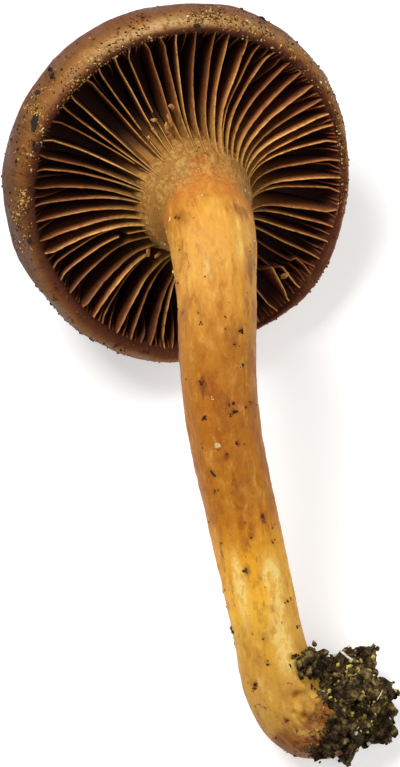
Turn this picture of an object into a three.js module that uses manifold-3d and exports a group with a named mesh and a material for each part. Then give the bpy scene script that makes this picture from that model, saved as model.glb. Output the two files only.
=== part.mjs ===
// Pine spike mushroom, picked and laid down. It rests on the dome of its cap and on the clump of
// earth at its foot, with the gills turned up. Millimetres, +Z up, floor at Z = 0.

import * as THREE from 'three';
import { mergeVertices } from 'three/addons/utils/BufferGeometryUtils.js';
import Module from 'manifold-3d';

const wasm = await Module();
wasm.setup();

// Cap: its centre is the middle of the circle where the gills meet the margin, and its axis
// points from the apex to the stem
const CAP_CENTRE = new THREE.Vector3(-1.79, 32.67, 26.2);
const CAP_AXIS = new THREE.Vector3(0.308, -0.556, 0.772).normalize();
const CAP_RADIUS = 31.2;
const CAP_DOME_DEPTH = 13;
const CAP_WIDEST_LEVEL = -6.3;
const UMBO_HEIGHT = 1;
const UMBO_RADIUS = 6;
const CAP_COLUMNS = 66;
const DOME_RINGS = 11;

// Uneven outline of the cap: share of the radius, waves in a turn and their phase
const CAP_WAVES = [[0.019, 2, 2.65], [0.017, 3, -2.29]];

// Rolled margin: an ellipse section from the widest circle over the lip to the gills
const LIP_WIDTH = 2.6;
const LIP_RISE = 6.8;
const LIP_TURN = THREE.MathUtils.degToRad(110);
const LIP_RINGS = 5;

// Gills: upright blades, each long one followed by a short one that starts at the margin
const LONG_GILLS = 50;
const GILL_OUTER_RADIUS = 27.4;
const GILL_INNER_RADIUS = 9;
const GILL_DEPTH = 7;
const GILL_EDGE_START = -0.3;
const GILL_EDGE_RISE = 6.5;
const GILL_EDGE_POWER = 1.8;
const GILL_EDGE_HALF = 0.32;
const GILL_ROOT_HALF = 0.5;
const GILL_EDGE_SHARE = 0.36;
const GILL_ROOT_SHARE = 0.46;
const GILL_MARGIN_POWER = 6;
const GILL_COLLAR_POWER = 8;
const GILL_UNEVEN = 0.12;
const GILL_SWEEP = 0.04;
const GILL_SWEEP_WAVES = 3;
const SHORT_GILL_REACH = [0.12, 0.6];
const SHORT_GILL_FADE = 0.4;
const OUTER_GILL_ROWS = [0, 0.06, 0.17, 0.34, 0.6];
const INNER_GILL_ROWS = [0.72, 0.86, 0.95, 1];

// Collar: the gills run together on it, round the top of the stem
const COLLAR_RINGS = [[8.7, 7.1], [8.3, 8], [7.6, 8.6]];
const COLLAR_COLUMNS = 48;

// Stem: centre line and radius from inside the cap to inside the earth
const STEM_LINE = [
  [-1.64, 32.39, 26.59, 6.6],
  [-0.56, 30.45, 29.29, 6.8],
  [0.67, 28.22, 32.38, 7],
  [1.46, 23.31, 36.12, 7.1],
  [2.19, 18.23, 38.9, 7],
  [2.75, 9.39, 39.64, 6.6],
  [3.08, -2.01, 36.59, 6.3],
  [4.58, -12.93, 31.59, 6.04],
  [7.17, -23.85, 26.07, 6],
  [9.8, -34.8, 20.03, 5.94],
  [11.52, -42.14, 15.69, 5.9],
  [13.68, -49.6, 11.62, 6.5],
  [16.91, -54.66, 9.23, 6.8],
  [21.15, -56.55, 8.2, 6.2],
  [24.53, -57.17, 7.83, 4.8],
];
const STEM_COLUMNS = 26;
const STEM_RINGS = 43;
const STEM_RIDGES = 7;
const STEM_RIDGE_HEIGHT = 0.012;
const STEM_RIDGE_TWIST = 5;
const STEM_TIP = 1.5;
const SEAT_GAP = 0.3;

// Clump of earth: clods grown together, each with its centre and radius
const SOIL_CLODS = [
  [24.6, -52.0, 6.5, 8.2],
  [26.0, -46.6, 6.0, 5.2],
  [17.8, -46.2, 9.5, 2.9],
  [20.8, -48.0, 5.5, 5.0],
  [29.2, -50.0, 5.8, 4.2],
  [29.2, -55.4, 4.6, 4.2],
  [23.8, -57.8, 3.6, 4.2],
];
const CLOD_DETAIL = 4;
const CLOD_LUMPS = 14;
const CLOD_LUMP_HEIGHT = 0.6;
const CLOD_LUMP_WIDTH = 0.45;
const CLOD_HOLLOW_SHARE = 0.4;

const FLOOR_SIZE = 200;
const FLOOR_DEPTH = 20;
const SEED = 20;

// Repeatable random numbers from 0 to 1
function randomSource(seed) {
  let state = seed >>> 0;
  return () => {
    state = (state + 0x6d2b79f5) >>> 0;
    let mixed = Math.imul(state ^ (state >>> 15), 1 | state);
    mixed = (mixed + Math.imul(mixed ^ (mixed >>> 7), 61 | mixed)) ^ mixed;
    return ((mixed ^ (mixed >>> 14)) >>> 0) / 4294967296;
  };
}

// Triangles between two rings of points, walked in the order of their turns. A ring of one
// point closes an end.
function zip(lower, upper, faces) {
  const lowerSteps = lower.turns.length > 1 ? lower.turns.length : 0;
  const upperSteps = upper.turns.length > 1 ? upper.turns.length : 0;
  const index = (ring, step) => ring.first + (step % ring.turns.length);
  const turn = (ring, step) => ring.turns[step % ring.turns.length] + Math.floor(step / ring.turns.length);
  let low = 0;
  let high = 0;
  while (low < lowerSteps || high < upperSteps) {
    const nextLow = low < lowerSteps ? turn(lower, low + 1) : Infinity;
    const nextHigh = high < upperSteps ? turn(upper, high + 1) : Infinity;
    if (nextLow <= nextHigh) {
      faces.push(index(lower, low), index(lower, low + 1), index(upper, high));
      low += 1;
    } else {
      faces.push(index(lower, low), index(upper, high + 1), index(upper, high));
      high += 1;
    }
  }
}

// A closed skin over rings of {turns, points}, from one end point to the other
function loft(rings) {
  const positions = [];
  const faces = [];
  for (const ring of rings) {
    ring.first = positions.length / 3;
    for (const point of ring.points) positions.push(point.x, point.y, point.z);
  }
  for (let i = 1; i < rings.length; i += 1) zip(rings[i - 1], rings[i], faces);
  const geometry = new THREE.BufferGeometry();
  geometry.setAttribute('position', new THREE.Float32BufferAttribute(positions, 3));
  geometry.setIndex(faces);
  return geometry;
}

// A ring of one point, where a skin closes
function endPoint(point) {
  return { turns: [0], points: [point] };
}

function evenTurns(count) {
  return Array.from({ length: count }, (_, i) => i / count);
}

function toSolid(geometry) {
  const bare = geometry.clone();
  bare.deleteAttribute('normal');
  bare.deleteAttribute('uv');
  const merged = mergeVertices(bare);
  const vertProperties = new Float32Array(merged.attributes.position.array);
  const triVerts = new Uint32Array(merged.index.array);
  return new wasm.Manifold(new wasm.Mesh({ numProp: 3, vertProperties, triVerts }));
}

function toGeometry(solid) {
  const mesh = solid.getMesh();
  const geometry = new THREE.BufferGeometry();
  geometry.setAttribute('position', new THREE.BufferAttribute(mesh.vertProperties, 3));
  geometry.setIndex(new THREE.BufferAttribute(mesh.triVerts, 1));
  return geometry;
}

const random = randomSource(SEED);
const capTurn = new THREE.Quaternion().setFromUnitVectors(new THREE.Vector3(0, 0, 1), CAP_AXIS);

// A point of the cap from its radius, its turn round the axis and its level along the axis
function capPoint(radius, turn, level, sweep = 0) {
  const angle = 2 * Math.PI * turn + sweep;
  let wave = 1;
  for (const [share, waves, phase] of CAP_WAVES) {
    wave += share * Math.cos(waves * angle + phase) * (radius / CAP_RADIUS) ** 2;
  }
  const reach = radius * wave;
  const point = new THREE.Vector3(reach * Math.cos(angle), reach * Math.sin(angle), level);
  return point.applyQuaternion(capTurn).add(CAP_CENTRE);
}

function capRing(radius, level, columns) {
  const turns = evenTurns(columns);
  return { turns, points: turns.map((turn) => capPoint(radius, turn, level)) };
}

function domeLevel(radius) {
  const across = Math.min(radius / CAP_RADIUS, 1);
  const umbo = UMBO_HEIGHT * Math.exp(-((radius / UMBO_RADIUS) ** 2));
  return CAP_WIDEST_LEVEL - CAP_DOME_DEPTH * Math.sqrt(1 - across * across) - umbo;
}

// Each gill's own place, height and, for every second one, how far it reaches inwards
const gills = Array.from({ length: 2 * LONG_GILLS }, (_, i) => ({
  order: i,
  turn: (i + GILL_UNEVEN * (2 * random() - 1)) / (2 * LONG_GILLS),
  height: 1 - GILL_UNEVEN * random(),
  short: i % 2 === 1,
  reach: THREE.MathUtils.lerp(...SHORT_GILL_REACH, random()),
}));

// One ring of the gilled underside: every blade is a root, the two corners of its edge and a root.
// inward runs from 0 at the margin to 1 at the collar.
function gillRing(inward, blades) {
  const radius = THREE.MathUtils.lerp(GILL_OUTER_RADIUS, GILL_INNER_RADIUS, inward);
  const edge = GILL_EDGE_START + GILL_EDGE_RISE * inward ** GILL_EDGE_POWER;
  const depth = GILL_DEPTH * (1 - (1 - inward) ** GILL_MARGIN_POWER) * (1 - inward ** GILL_COLLAR_POWER);
  const root = edge - depth;
  const pitch = 1 / blades.length;
  const turnPerLength = 1 / (2 * Math.PI * radius);
  const edgeHalf = Math.min(GILL_EDGE_HALF * turnPerLength, GILL_EDGE_SHARE * pitch);
  const rootHalf = Math.min(GILL_ROOT_HALF * turnPerLength, GILL_ROOT_SHARE * pitch);
  const ring = { turns: [], points: [] };
  for (const gill of blades) {
    const fade = THREE.MathUtils.smoothstep(inward, SHORT_GILL_FADE * gill.reach, gill.reach);
    const top = root + depth * gill.height * (gill.short ? 1 - fade : 1);
    const sweep = GILL_SWEEP * inward * Math.sin(2 * Math.PI * GILL_SWEEP_WAVES * gill.turn);
    const corners = [[-rootHalf, root], [-edgeHalf, top], [edgeHalf, top], [rootHalf, root]];
    corners.forEach(([offset, level], corner) => {
      ring.turns.push((gill.order + corner / corners.length) / gills.length);
      ring.points.push(capPoint(radius, gill.turn + offset, level, sweep));
    });
  }
  return ring;
}

function capGeometry(stemHole, floor) {
  const rings = [endPoint(capPoint(0, 0, domeLevel(0)))];
  for (let i = 1; i <= DOME_RINGS; i += 1) {
    const radius = CAP_RADIUS * Math.sin((0.5 * Math.PI * i) / DOME_RINGS);
    rings.push(capRing(radius, domeLevel(radius), CAP_COLUMNS));
  }
  for (let i = 1; i <= LIP_RINGS; i += 1) {
    const angle = (LIP_TURN * i) / LIP_RINGS;
    const radius = CAP_RADIUS - LIP_WIDTH * (1 - Math.cos(angle));
    rings.push(capRing(radius, CAP_WIDEST_LEVEL + LIP_RISE * Math.sin(angle), CAP_COLUMNS));
  }
  const longGills = gills.filter((gill) => !gill.short);
  for (const inward of OUTER_GILL_ROWS) rings.push(gillRing(inward, gills));
  for (const inward of INNER_GILL_ROWS) rings.push(gillRing(inward, longGills));
  for (const [radius, level] of COLLAR_RINGS) rings.push(capRing(radius, level, COLLAR_COLUMNS));
  const [, collarTop] = COLLAR_RINGS.at(-1);
  rings.push(endPoint(capPoint(0, 0, collarTop)));
  return toGeometry(toSolid(loft(rings)).subtract(stemHole).subtract(floor));
}

// The stem's skin, or with a gap the hole that it stands in
function stemGeometry(gap) {
  const line = new THREE.CatmullRomCurve3(STEM_LINE.map(([x, y, z]) => new THREE.Vector3(x, y, z)));
  const lastRow = STEM_LINE.length - 1;
  const lastRing = STEM_RINGS - 1;
  const turns = evenTurns(STEM_COLUMNS);
  const side = new THREE.Vector3(1, 0, 0);
  const rings = [];
  for (let i = 0; i <= lastRing; i += 1) {
    const along = i / lastRing;
    const tangent = line.getTangent(along);
    const centre = line.getPoint(along);
    if (i === 0) centre.addScaledVector(tangent, -gap);
    if (i === lastRing) centre.addScaledVector(tangent, gap);
    side.addScaledVector(tangent, -side.dot(tangent)).normalize();
    const across = new THREE.Vector3().crossVectors(tangent, side);
    const row = Math.min(Math.floor(along * lastRow), lastRow - 1);
    const radius = THREE.MathUtils.lerp(STEM_LINE[row][3], STEM_LINE[row + 1][3], along * lastRow - row);
    const points = turns.map((turn) => {
      const angle = 2 * Math.PI * turn;
      const ridge = 1 + STEM_RIDGE_HEIGHT * Math.cos(STEM_RIDGES * angle + STEM_RIDGE_TWIST * along);
      const reach = radius * ridge + gap;
      return centre.clone()
        .addScaledVector(side, reach * Math.cos(angle))
        .addScaledVector(across, reach * Math.sin(angle));
    });
    if (i === 0) rings.push(endPoint(centre));
    rings.push({ turns, points });
    if (i === lastRing) rings.push(endPoint(centre.clone().addScaledVector(tangent, STEM_TIP)));
  }
  return loft(rings);
}

// One clod: a ball with seeded lumps and hollows
function clodSolid([x, y, z, radius]) {
  const lumps = Array.from({ length: CLOD_LUMPS }, () => ({
    towards: new THREE.Vector3(2 * random() - 1, 2 * random() - 1, 2 * random() - 1).normalize(),
    height: CLOD_LUMP_HEIGHT * (random() - CLOD_HOLLOW_SHARE),
  }));
  const ball = new THREE.IcosahedronGeometry(1, CLOD_DETAIL);
  const position = ball.attributes.position;
  const point = new THREE.Vector3();
  for (let i = 0; i < position.count; i += 1) {
    point.fromBufferAttribute(position, i).normalize();
    let reach = radius;
    for (const lump of lumps) {
      const away = point.distanceTo(lump.towards) / CLOD_LUMP_WIDTH;
      reach += radius * lump.height * Math.exp(-away * away);
    }
    position.setXYZ(i, x + reach * point.x, y + reach * point.y, z + reach * point.z);
  }
  return toSolid(ball);
}

function soilGeometry(stemHole, floor) {
  const clods = SOIL_CLODS.map(clodSolid);
  const clump = clods.reduce((joined, clod) => joined.add(clod));
  return toGeometry(clump.subtract(stemHole).subtract(floor));
}

function piece(name, geometry, color, roughness) {
  const mesh = new THREE.Mesh(geometry, new THREE.MeshStandardMaterial({ color, roughness, metalness: 0 }));
  mesh.name = name;
  return mesh;
}

const stemHole = toSolid(stemGeometry(SEAT_GAP));
const floorBox = new THREE.BoxGeometry(FLOOR_SIZE, FLOOR_SIZE, FLOOR_DEPTH);
const floor = toSolid(floorBox.translate(0, 0, -FLOOR_DEPTH / 2));
const mushroom = new THREE.Group();
mushroom.add(piece('cap', capGeometry(stemHole, floor), 0x7a4f2e, 0.5));
mushroom.add(piece('stem', stemGeometry(0), 0xd39a3f, 0.6));
mushroom.add(piece('soil_clump', soilGeometry(stemHole, floor), 0x2f2518, 0.95));

export default mushroom;
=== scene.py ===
"""Looks of a pine spike mushroom that was picked and laid down, gills up, with earth on its foot.

Every piece is a surface worked out with numpy in the part's own frame. Lengths are millimetres
until a mesh is made, angles are radians unless a name says degrees, and +Z is up.
"""

import math

import bpy
import numpy as np
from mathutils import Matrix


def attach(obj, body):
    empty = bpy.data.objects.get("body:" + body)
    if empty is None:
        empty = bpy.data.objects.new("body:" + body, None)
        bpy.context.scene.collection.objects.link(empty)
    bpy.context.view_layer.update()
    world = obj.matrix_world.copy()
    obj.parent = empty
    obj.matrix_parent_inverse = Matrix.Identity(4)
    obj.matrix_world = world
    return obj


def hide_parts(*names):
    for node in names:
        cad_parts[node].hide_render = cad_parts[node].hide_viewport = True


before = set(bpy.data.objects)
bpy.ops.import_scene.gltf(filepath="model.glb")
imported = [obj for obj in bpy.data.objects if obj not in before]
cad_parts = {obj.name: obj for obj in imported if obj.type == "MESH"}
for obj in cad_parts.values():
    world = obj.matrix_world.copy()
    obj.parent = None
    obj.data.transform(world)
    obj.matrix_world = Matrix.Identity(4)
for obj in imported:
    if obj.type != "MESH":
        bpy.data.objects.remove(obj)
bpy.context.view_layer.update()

MM = 0.001
FULL_TURN = 2 * np.pi
BODY = "root"
SEED = 2024
TINY = 1e-12

# Camera: the picture's size in pixels and the view that it was taken from
PICTURE_WIDTH = 400
PICTURE_HEIGHT = 767
VIEW_TARGET = np.array([0.05, -3.05, 33.2])
VIEW_ELEVATION = math.radians(75)
VIEW_DISTANCE = 450
PIXEL_SIZE = 0.165
SENSOR_WIDTH = 36
FACING = 0.05
OUT_OF_SIGHT = 1e6
FOCAL_PIXELS = VIEW_DISTANCE / PIXEL_SIZE
VIEW_RIGHT = np.array([1.0, 0.0, 0.0])
VIEW_UP = np.array([0.0, math.sin(VIEW_ELEVATION), math.cos(VIEW_ELEVATION)])
VIEW_BACK = np.array([0.0, -math.cos(VIEW_ELEVATION), math.sin(VIEW_ELEVATION)])

# Cap: the centre is the middle of the circle where the gills meet the margin, and the axis points
# from the apex to the stem
CAP_CENTRE = np.array([-1.79, 32.67, 26.2])
CAP_AXIS = np.array([0.308, -0.556, 0.772])
CAP_RADIUS = 31.2
CAP_DOME_DEPTH = 13
CAP_WIDEST_LEVEL = -6.3
UMBO_HEIGHT = 1
UMBO_RADIUS = 6
CAP_WAVES = [(0.019, 2, 2.65), (0.017, 3, -2.29)]
CAP_DENT = 0.055
CAP_DENT_ANGLE = math.radians(298)
CAP_DENT_SPREAD = 0.33
LIP_WIDTH = 2.6
LIP_RISE = 6.8
LIP_TURN = math.radians(110)
LIP_THINNING = 1.4
LIP_THIN_ANGLE = math.radians(322)
LIP_THIN_SPREAD = 0.85
TUCK_WIDTH = 0.5
TUCK_DEPTH = 2.4

# How far along the skin a point is: 0 at the apex, then where the lip and the tuck start and how
# much of the way each takes
RIM_WIDEST = 0.5
RIM_LIP = 0.45
RIM_TUCK_START = 0.95
RIM_TUCK = 0.05

# Unevenness of the skin: height and size of broad dents, wrinkles on the lip, and grit
DENT_HEIGHT = 0.35
DENT_SIZE = 11
WRINKLE_HEIGHT = 0.13
WRINKLE_SIZE = 1.3
WRINKLE_STRETCH = 0.22
WRINKLE_LEAST = 0.35
WRINKLE_ANGLE = math.radians(138)
WRINKLE_SPREAD = 0.5
GRIT_HEIGHT = 0.05
GRIT_SIZE = 1.3

# Pale dust and a painted highlight on the crest of the lip, and painted shade on the darker side of
# the lip: where each lies and how far it spreads
CREST_ANGLE = math.radians(104)
CREST_SPREAD = 0.55
CREST_RIM = 0.76
CREST_WIDTH = 0.07
PAINTED_SHADE_ANGLE = math.radians(190)
PAINTED_SHADE_SPREAD = 0.7

# Gills: inward runs from 0 at the margin to 1 at the collar
LONG_GILLS = 58
LONG_GILL_ROWS = 64
SHORT_GILL_ROWS = 28
GILL_OUTER_RADIUS = 27.9
GILL_INNER_RADIUS = 9
GILL_DEPTH = 7.5
GILL_EDGE_START = -0.3
GILL_EDGE_DIP = 2.4
GILL_EDGE_RISE = 9.4
GILL_EDGE_POWER = 4
GILL_EDGE_HALF = 0.15
GILL_MARGIN_POWER = 6
GILL_COLLAR_POWER = 9
GILL_ROOT_SINK = 0.4
# Angle round the cap of the gills that are lit best; gills turned away from it get painted shade on their
# faces
GILL_LIT_ANGLE = math.radians(20)

# Stem: centre line and radius, from inside the cap to inside the earth
STEM_LINE = np.array([
    [-1.64, 32.39, 26.59, 6.6],
    [-0.56, 30.45, 29.29, 6.8],
    [0.67, 28.22, 32.38, 7.0],
    [1.46, 23.31, 36.12, 7.1],
    [2.19, 18.23, 38.90, 7.0],
    [2.75, 9.39, 39.64, 6.6],
    [3.08, -2.01, 36.59, 6.3],
    [4.58, -12.93, 31.59, 6.04],
    [7.17, -23.85, 26.07, 6.0],
    [9.80, -34.80, 20.03, 5.94],
    [11.52, -42.14, 15.69, 5.9],
    [13.68, -49.60, 11.62, 6.5],
    [16.91, -54.66, 9.23, 6.4],
    [21.15, -56.55, 8.20, 5.5],
    [24.53, -57.17, 7.83, 3.9],
])
STEM_GIRTH = 6.5
COLLAR_MIDDLE = 6.2
COLLAR_FLARE = 3.5
COLLAR_FALL = 1.4

# Earth: clods grown together, each with its centre and radius
SOIL_CLODS = np.array([
    [24.4, -52.0, 6.5, 7.7],
    [25.8, -46.6, 6.4, 4.9],
    [17.8, -46.2, 9.5, 2.9],
    [20.8, -48.0, 5.5, 5.0],
    [28.2, -50.0, 5.6, 3.9],
    [28.9, -55.6, 4.6, 3.9],
    [23.8, -57.8, 3.6, 4.2],
])

CLOD_BLEND = 14

# Earth that covers the foot: pixel of the middle, spread in pixels, number of crumbs
FOOT_EARTH = [
    ((303, 664), (5, 5), 60),
    ((312, 656), (4, 4), 50),
    ((316, 672), (4, 5), 40),
    ((328, 686), (4, 6), 40),
    ((338, 704), (4, 7), 60),
    ((336, 724), (4, 7), 80),
    ((332, 738), (6, 6), 110),
    ((320, 750), (5, 3), 60),
    ((344, 736), (5, 9), 110),
]


# Shapes

def unit(vectors):
    """Vectors divided by their lengths."""
    return vectors / np.linalg.norm(vectors, axis=-1, keepdims=True)


def smooth_step(low, high, values):
    """0 below low, 1 above high, and a smooth rise between them."""
    share = np.clip((values - low) / (high - low), 0, 1)
    return share * share * (3 - 2 * share)


def bell(distance, width):
    """1 at no distance, falling off as a bell curve of the given width."""
    return np.exp(-(distance / width) ** 2)


def angle_between(first, second):
    """The turn from the second angle to the first, at most half a turn either way."""
    return np.angle(np.exp(1j * (first - second)))


def bell_round(angle, middle, spread):
    """A bell curve round an axis, 1 at the middle angle."""
    return bell(angle_between(angle, middle), spread)


def lattice_noise(points, size, seed):
    """Smooth values from -1 to 1: random numbers on a lattice of the given size, blended between
    the eight corners of each cell."""
    cells = 64
    numbers = np.random.default_rng(seed).uniform(-1, 1, (cells, cells, cells))
    scaled = points / size
    corner = np.floor(scaled).astype(int)
    share = scaled - corner
    share = share * share * (3 - 2 * share)
    total = np.zeros(points.shape[:-1])
    for step in np.ndindex(2, 2, 2):
        place = (corner + step) % cells
        weight = np.prod(np.where(step, share, 1 - share), axis=-1)
        total += weight * numbers[place[..., 0], place[..., 1], place[..., 2]]
    return total


def rough_noise(points, size, seed, octaves=3):
    """Lattice noise with finer layers added, each of half the size and half the strength."""
    layers = range(octaves)
    return sum(lattice_noise(points, size / 2 ** k, seed + k) / 2 ** k for k in layers)


def grid_normals(rows):
    """Outward normals of a grid of points whose rows close on themselves: the step along the
    columns crossed with the step along the rows."""
    down = np.gradient(rows, axis=0)
    across = np.roll(rows, -1, axis=1) - np.roll(rows, 1, axis=1)
    return unit(np.cross(across, down) + TINY)


def flat_surface(rows):
    """The points of a grid and their normals, each as one list."""
    return rows.reshape(-1, 3), grid_normals(rows).reshape(-1, 3)


def grid_quads(index):
    """Quads between the rows of a grid of indexes. The rows close on themselves."""
    after = np.roll(index, -1, axis=1)
    return np.stack([index[:-1], after[:-1], after[1:], index[1:]], -1).reshape(-1, 4)


def ball_ways(rise, angle):
    """Directions from the middle of a ball, by their rise and their angle round it."""
    flat = np.cos(rise)
    return np.stack(np.broadcast_arrays(flat * np.cos(angle), flat * np.sin(angle), np.sin(rise)), -1)


def round_skin(rows, fields, close_start=False, close_end=False):
    """A skin over rows of points that close on themselves. An end is closed by a fan to the middle
    of its row. Fields are values on the same grid."""
    count, columns = rows.shape[:2]
    index = np.arange(count * columns).reshape(count, columns)
    after = np.roll(index, -1, axis=1)
    faces = grid_quads(index).tolist()
    points = rows.reshape(-1, 3)
    flat = {key: values.reshape(count * columns, -1) for key, values in fields.items()}
    ends = []
    if close_start:
        ends.append((0, lambda pole: np.stack([pole, after[0], index[0]], -1)))
    if close_end:
        ends.append((-1, lambda pole: np.stack([index[-1], after[-1], pole], -1)))
    for row, fan in ends:
        faces += fan(np.full(columns, len(points))).tolist()
        points = np.vstack([points, rows[row].mean(axis=0)])
        for key, values in fields.items():
            middle = values[row].reshape(columns, -1).mean(axis=0)
            flat[key] = np.vstack([flat[key], middle])
    return points, faces, flat


def rest_on_floor(points):
    """Points that would be under the floor are lifted onto it."""
    lifted = points.copy()
    lifted[..., 2] = np.maximum(lifted[..., 2], 0)
    return lifted


def make_piece(name, skin, material, replaced=None, smooth=True):
    """A mesh object from points, faces and fields, riding on the one body."""
    points, faces, fields = skin
    mesh = bpy.data.meshes.new(name)
    mesh.from_pydata((points * MM).tolist(), [], faces)
    mesh.polygons.foreach_set("use_smooth", np.full(len(mesh.polygons), smooth))
    for key, values in fields.items():
        is_vector = values.shape[1] == 3
        layer = mesh.attributes.new(key, "FLOAT_VECTOR" if is_vector else "FLOAT", "POINT")
        layer.data.foreach_set("vector" if is_vector else "value", values.astype(np.float32).ravel())
    mesh.update()
    mesh.materials.append(material)
    piece = bpy.data.objects.new(name, mesh)
    bpy.context.scene.collection.objects.link(piece)
    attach(piece, BODY)
    if replaced:
        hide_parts(replaced)


def picture_places(points):
    """Where points appear in the picture, in pixels from its top left corner."""
    offset = points - VIEW_TARGET
    size = FOCAL_PIXELS / (VIEW_DISTANCE - offset @ VIEW_BACK)
    across = PICTURE_WIDTH / 2 + offset @ VIEW_RIGHT * size
    down = PICTURE_HEIGHT / 2 - offset @ VIEW_UP * size
    return np.stack([across, down], -1)


def under_pixels(pixels, points, normals):
    """The index of the surface point that shows at each pixel: the nearest one in the picture
    among those that face the camera."""
    away = OUT_OF_SIGHT * (normals @ VIEW_BACK < FACING)
    places = picture_places(points)
    pixels = np.atleast_2d(pixels)
    return np.array([np.argmin(((places - pixel) ** 2).sum(-1) + away) for pixel in pixels])


# Cap

def turn_to(axis):
    """The shortest rotation that carries +Z to an axis, by Rodrigues' formula."""
    axis = unit(axis)
    x, y = -axis[1], axis[0]
    twist = np.array([[0, 0, y], [0, 0, -x], [-y, x, 0]])
    return np.eye(3) + twist + twist @ twist / (1 + axis[2])


CAP_TURN = turn_to(CAP_AXIS)


def cap_points(radius, angle, level):
    """Points of the cap from radius, angle round its axis and level along it. Low waves round the
    axis and one dent make the outline uneven, more so towards the margin."""
    wave = sum(share * np.cos(waves * angle + phase) for share, waves, phase in CAP_WAVES)
    wave = wave - CAP_DENT * bell_round(angle, CAP_DENT_ANGLE, CAP_DENT_SPREAD)
    reach = radius * (1 + wave * (radius / CAP_RADIUS) ** 2)
    local = np.stack(np.broadcast_arrays(reach * np.cos(angle), reach * np.sin(angle), level), -1)
    return CAP_CENTRE + local @ CAP_TURN.T


def ring_angles(columns):
    """Even angles round a full turn."""
    return np.linspace(0, FULL_TURN, columns, endpoint=False)


def lip_thinning(angle):
    """How much further out the gills begin on the side where the lip is thin."""
    return LIP_THINNING * bell_round(angle, LIP_THIN_ANGLE, LIP_THIN_SPREAD)


def cap_skin_rows(columns=640, dome_rows=44, lip_rows=62, tuck_rows=5):
    """The skin from the apex to the gills: a low dome, then an ellipse section over the lip, then
    a short tuck behind it. Broad dents, and wrinkles across the lip, lift the surface."""
    dome = np.linspace(0.02, 0.5 * np.pi, dome_rows)
    dome_radius = CAP_RADIUS * np.sin(dome)
    dome_level = CAP_WIDEST_LEVEL - CAP_DOME_DEPTH * np.cos(dome)
    dome_level -= UMBO_HEIGHT * bell(dome_radius, UMBO_RADIUS)
    angle = ring_angles(columns)[None, :]
    lip = np.linspace(0, LIP_TURN, lip_rows + 1)[1:]
    lip_width = LIP_WIDTH - lip_thinning(angle) / (1 - math.cos(LIP_TURN))
    lip_radius = CAP_RADIUS - lip_width * (1 - np.cos(lip))[:, None]
    lip_level = CAP_WIDEST_LEVEL + LIP_RISE * np.sin(lip)
    tuck = np.linspace(0, 1, tuck_rows + 1)[1:]
    tuck_radius = lip_radius[-1] - TUCK_WIDTH * tuck[:, None]
    tuck_level = lip_level[-1] - TUCK_DEPTH * tuck
    dome_radius = np.repeat(dome_radius[:, None], columns, axis=1)
    radius = np.concatenate([dome_radius, lip_radius, tuck_radius])
    level = np.concatenate([dome_level, lip_level, tuck_level])[:, None]
    rim = np.concatenate([
        RIM_WIDEST * dome / dome[-1],
        RIM_WIDEST + RIM_LIP * lip / LIP_TURN,
        RIM_TUCK_START + RIM_TUCK * tuck,
    ])[:, None]
    rows = cap_points(radius, angle, level)
    rim = np.broadcast_to(rim, rows.shape[:2])
    on_lip = smooth_step(0.5, 0.62, rim) * (1 - smooth_step(0.93, 0.97, rim))
    meridian = np.concatenate([[0], np.cumsum(np.hypot(np.diff(radius[:, 0]), np.diff(level[:, 0])))])
    meridian = np.broadcast_to(meridian[:, None], rows.shape[:2])
    round_x = CAP_RADIUS * np.cos(angle) + 0 * meridian
    round_y = CAP_RADIUS * np.sin(angle) + 0 * meridian
    stretched = np.stack([round_x, round_y, WRINKLE_STRETCH * meridian], -1)
    wrinkled = WRINKLE_LEAST + bell_round(angle, WRINKLE_ANGLE, WRINKLE_SPREAD)
    lift = DENT_HEIGHT * rough_noise(rows, DENT_SIZE, seed=31)
    wrinkles = rough_noise(stretched, WRINKLE_SIZE, seed=41)
    lift = lift + WRINKLE_HEIGHT * on_lip * wrinkled * wrinkles
    lift = lift + GRIT_HEIGHT * rough_noise(rows, GRIT_SIZE, seed=51)
    rows = rest_on_floor(rows + lift[..., None] * grid_normals(rows))
    # The crest mask carries pale dust and a painted highlight along the crest of the lip
    crest = bell_round(angle, CREST_ANGLE, CREST_SPREAD) * bell(rim - CREST_RIM, CREST_WIDTH)
    # Painted shade: the lip is darkened on one side, where less light falls
    painted_shade_side = bell_round(angle, PAINTED_SHADE_ANGLE, PAINTED_SHADE_SPREAD) + 0 * rim
    skin = np.stack([round_x, round_y, meridian], -1)
    fields = {"rim": rim, "skin": skin, "crest": crest, "painted_shade_side": painted_shade_side}
    return rows, fields


def gill_edge_level(inward):
    """The gills' edge dips a little behind the margin and climbs steeply at the collar."""
    return GILL_EDGE_START - GILL_EDGE_DIP * inward + GILL_EDGE_RISE * inward ** GILL_EDGE_POWER


def gill_depth(inward):
    """Height of the gills from their roots: none at the margin and at the collar."""
    return GILL_DEPTH * (1 - (1 - inward) ** GILL_MARGIN_POWER) * (1 - inward ** GILL_COLLAR_POWER)


def gill_radius(inward, angle):
    """Distance from the cap's axis. The gills begin further out where the lip is thin."""
    outer = GILL_OUTER_RADIUS + lip_thinning(angle)
    return outer + (GILL_INNER_RADIUS - outer) * inward


def gill_bed_rows(columns=360, count=64):
    """The flesh that the gills stand in: from under the lip down to their roots and up to the
    collar, then level below the collar."""
    inward = np.concatenate([np.linspace(0, 1, count), [1.08, 1.2]])[:, None]
    across = np.minimum(inward, 1)
    level = gill_edge_level(across) - gill_depth(across) + 0.25
    angle = ring_angles(columns)[None, :]
    rows = cap_points(gill_radius(inward, angle), angle, level)
    rows = rows + 0.12 * rough_noise(rows, 1.8, 61)[..., None] * grid_normals(rows)
    return rows, {"inward": np.broadcast_to(inward, rows.shape[:2])}


NOTCH_REACH = math.radians(3.7)
TEAR_REACH = math.radians(3.2)

# Broken gills: angle in degrees, radius of the break, length of the gap, how much of the height goes
GILL_NOTCHES = [
    (116, 14.4, 0.8, 0.6),
    (129, 13.4, 0.7, 0.6),
    (157, 11.2, 0.5, 0.5),
    (214, 13.6, 0.5, 0.6),
    (240, 11.8, 1.0, 0.6),
]

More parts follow.
